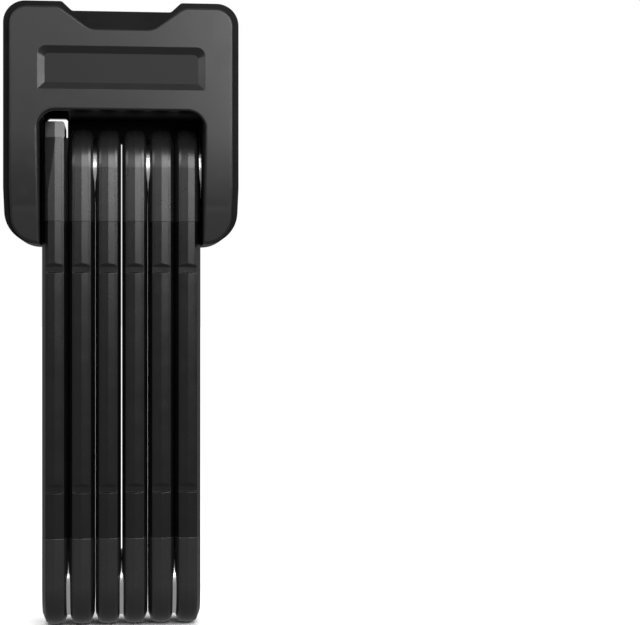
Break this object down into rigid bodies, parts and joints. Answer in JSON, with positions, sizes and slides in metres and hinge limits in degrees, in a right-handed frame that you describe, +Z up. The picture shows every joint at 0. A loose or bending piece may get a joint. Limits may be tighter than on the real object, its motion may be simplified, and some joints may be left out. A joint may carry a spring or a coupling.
{
  "type": "folding bike lock",
  "caption": "Folding bike lock: jacketed steel links riveted end to end, folded side by side into the window of a covered lock body, with a keyed cylinder, sliding bolt and dust cover.",
  "frame": {"origin": "under the middle of the folded stack, level with the links' lowest points, half way through the lock's depth", "axes": "+Z up along the folded links towards the lock body, -Y out of the back cover with the recessed plate, +X to the right seen from the back cover"},
  "size_m": [0.0746, 0.039, 0.2003],
  "materials": {
    "housing_paint": "black powder coat, satin",
    "cover_plastic": "soft-touch anthracite, fine grain",
    "link_jacket": "satin black moulded jacket",
    "link_cap": "satin black moulded cap",
    "black_plastic": "black moulded plastic",
    "hard_steel": "hardened steel, ground",
    "tongue_steel": "satin nickel plate",
    "washer_steel": "polished",
    "rivet_steel": "turned steel",
    "spring_steel": "bright wire and screws",
    "brass": "turned brass"
  },
  "bodies": {
    "lock_body": {"lock_housing": "housing_paint", "back_cover": "cover_plastic", "front_cover": "cover_plastic", "cylinder_housing": "brass", "cylinder_roll_pin": "spring_steel", "mechanism_lid": "housing_paint", "lid_screws": "spring_steel", "keyhole_bezel": "black_plastic", "bolt_spring": "spring_steel", "pivot_plug": "black_plastic", "rivet_body_1": "rivet_steel", "washer_body_1": "washer_steel"},
    "cylinder": {"cylinder_rotor": "brass", "drill_guard": "hard_steel", "lock_discs": "brass", "sidebar": "hard_steel"},
    "bolt": {"lock_bolt": "hard_steel"},
    "dust_slide": {"dust_cover": "black_plastic"},
    "bar_1": {"bar_1_core": "hard_steel", "bar_1_sleeve": "link_jacket", "bar_1_lower_cap": "link_cap", "bar_1_upper_cap": "link_cap", "rivet_1_2": "rivet_steel", "washer_1_2": "washer_steel"},
    "bar_2": {"bar_2_core": "hard_steel", "bar_2_sleeve": "link_jacket", "bar_2_lower_cap": "link_cap", "bar_2_upper_cap": "link_cap", "rivet_2_3": "rivet_steel", "washer_2_3": "washer_steel"},
    "bar_3": {"bar_3_core": "hard_steel", "bar_3_sleeve": "link_jacket", "bar_3_lower_cap": "link_cap", "bar_3_upper_cap": "link_cap", "rivet_3_4": "rivet_steel", "washer_3_4": "washer_steel"},
    "bar_4": {"bar_4_core": "hard_steel", "bar_4_sleeve": "link_jacket", "bar_4_lower_cap": "link_cap", "bar_4_upper_cap": "link_cap", "rivet_4_5": "rivet_steel", "washer_4_5": "washer_steel"},
    "bar_5": {"bar_5_core": "hard_steel", "bar_5_sleeve": "link_jacket", "bar_5_lower_cap": "link_cap", "bar_5_upper_cap": "link_cap", "rivet_5_6": "rivet_steel", "washer_5_6": "washer_steel"},
    "bar_6": {"bar_6_core": "tongue_steel", "bar_6_sleeve": "link_jacket", "bar_6_lower_cap": "link_cap", "bar_6_upper_cap": "link_cap"}
  },
  "joints": [
    {"name": "body_hinge", "type": "hinge", "parent": "lock_body", "child": "bar_1", "pos_m": [0.02125, 0, 0.1479], "axis": [1, 0, 0], "range_deg": [-95, 65]},
    {"name": "hinge_1_2", "type": "hinge", "parent": "bar_1", "child": "bar_2", "pos_m": [0.017, 0, 0.0135], "axis": [1, 0, 0], "range_deg": [0, 180]},
    {"name": "hinge_2_3", "type": "hinge", "parent": "bar_2", "child": "bar_3", "pos_m": [0.0085, 0, 0.1479], "axis": [1, 0, 0], "range_deg": [-180, 0]},
    {"name": "hinge_3_4", "type": "hinge", "parent": "bar_3", "child": "bar_4", "pos_m": [0, 0, 0.0135], "axis": [1, 0, 0], "range_deg": [0, 180]},
    {"name": "hinge_4_5", "type": "hinge", "parent": "bar_4", "child": "bar_5", "pos_m": [-0.0085, 0, 0.1479], "axis": [1, 0, 0], "range_deg": [-180, 0]},
    {"name": "hinge_5_6", "type": "hinge", "parent": "bar_5", "child": "bar_6", "pos_m": [-0.017, 0, 0.0135], "axis": [1, 0, 0], "range_deg": [0, 180]},
    {"name": "cylinder_turn", "type": "hinge", "parent": "lock_body", "child": "cylinder", "pos_m": [0, 0, 0.1867], "axis": [0, 0, -1], "range_deg": [0, 90]},
    {"name": "bolt_slide", "type": "slide", "parent": "lock_body", "child": "bolt", "axis": [1, 0, 0], "range_m": [0, 0.0063], "deforming": ["bolt_spring"]},
    {"name": "dust_cover_slide", "type": "slide", "parent": "lock_body", "child": "dust_slide", "axis": [1, 0, 0], "range_m": [0, 0.0082]}
  ],
  "couplings": [
    {"joint": "hinge_2_3", "follows": "hinge_1_2", "ratio": -1},
    {"joint": "hinge_4_5", "follows": "hinge_3_4", "ratio": -1},
    {"joint": "bolt_slide", "follows": "cylinder_turn", "m_per_rad": 0.00401}
  ]
}
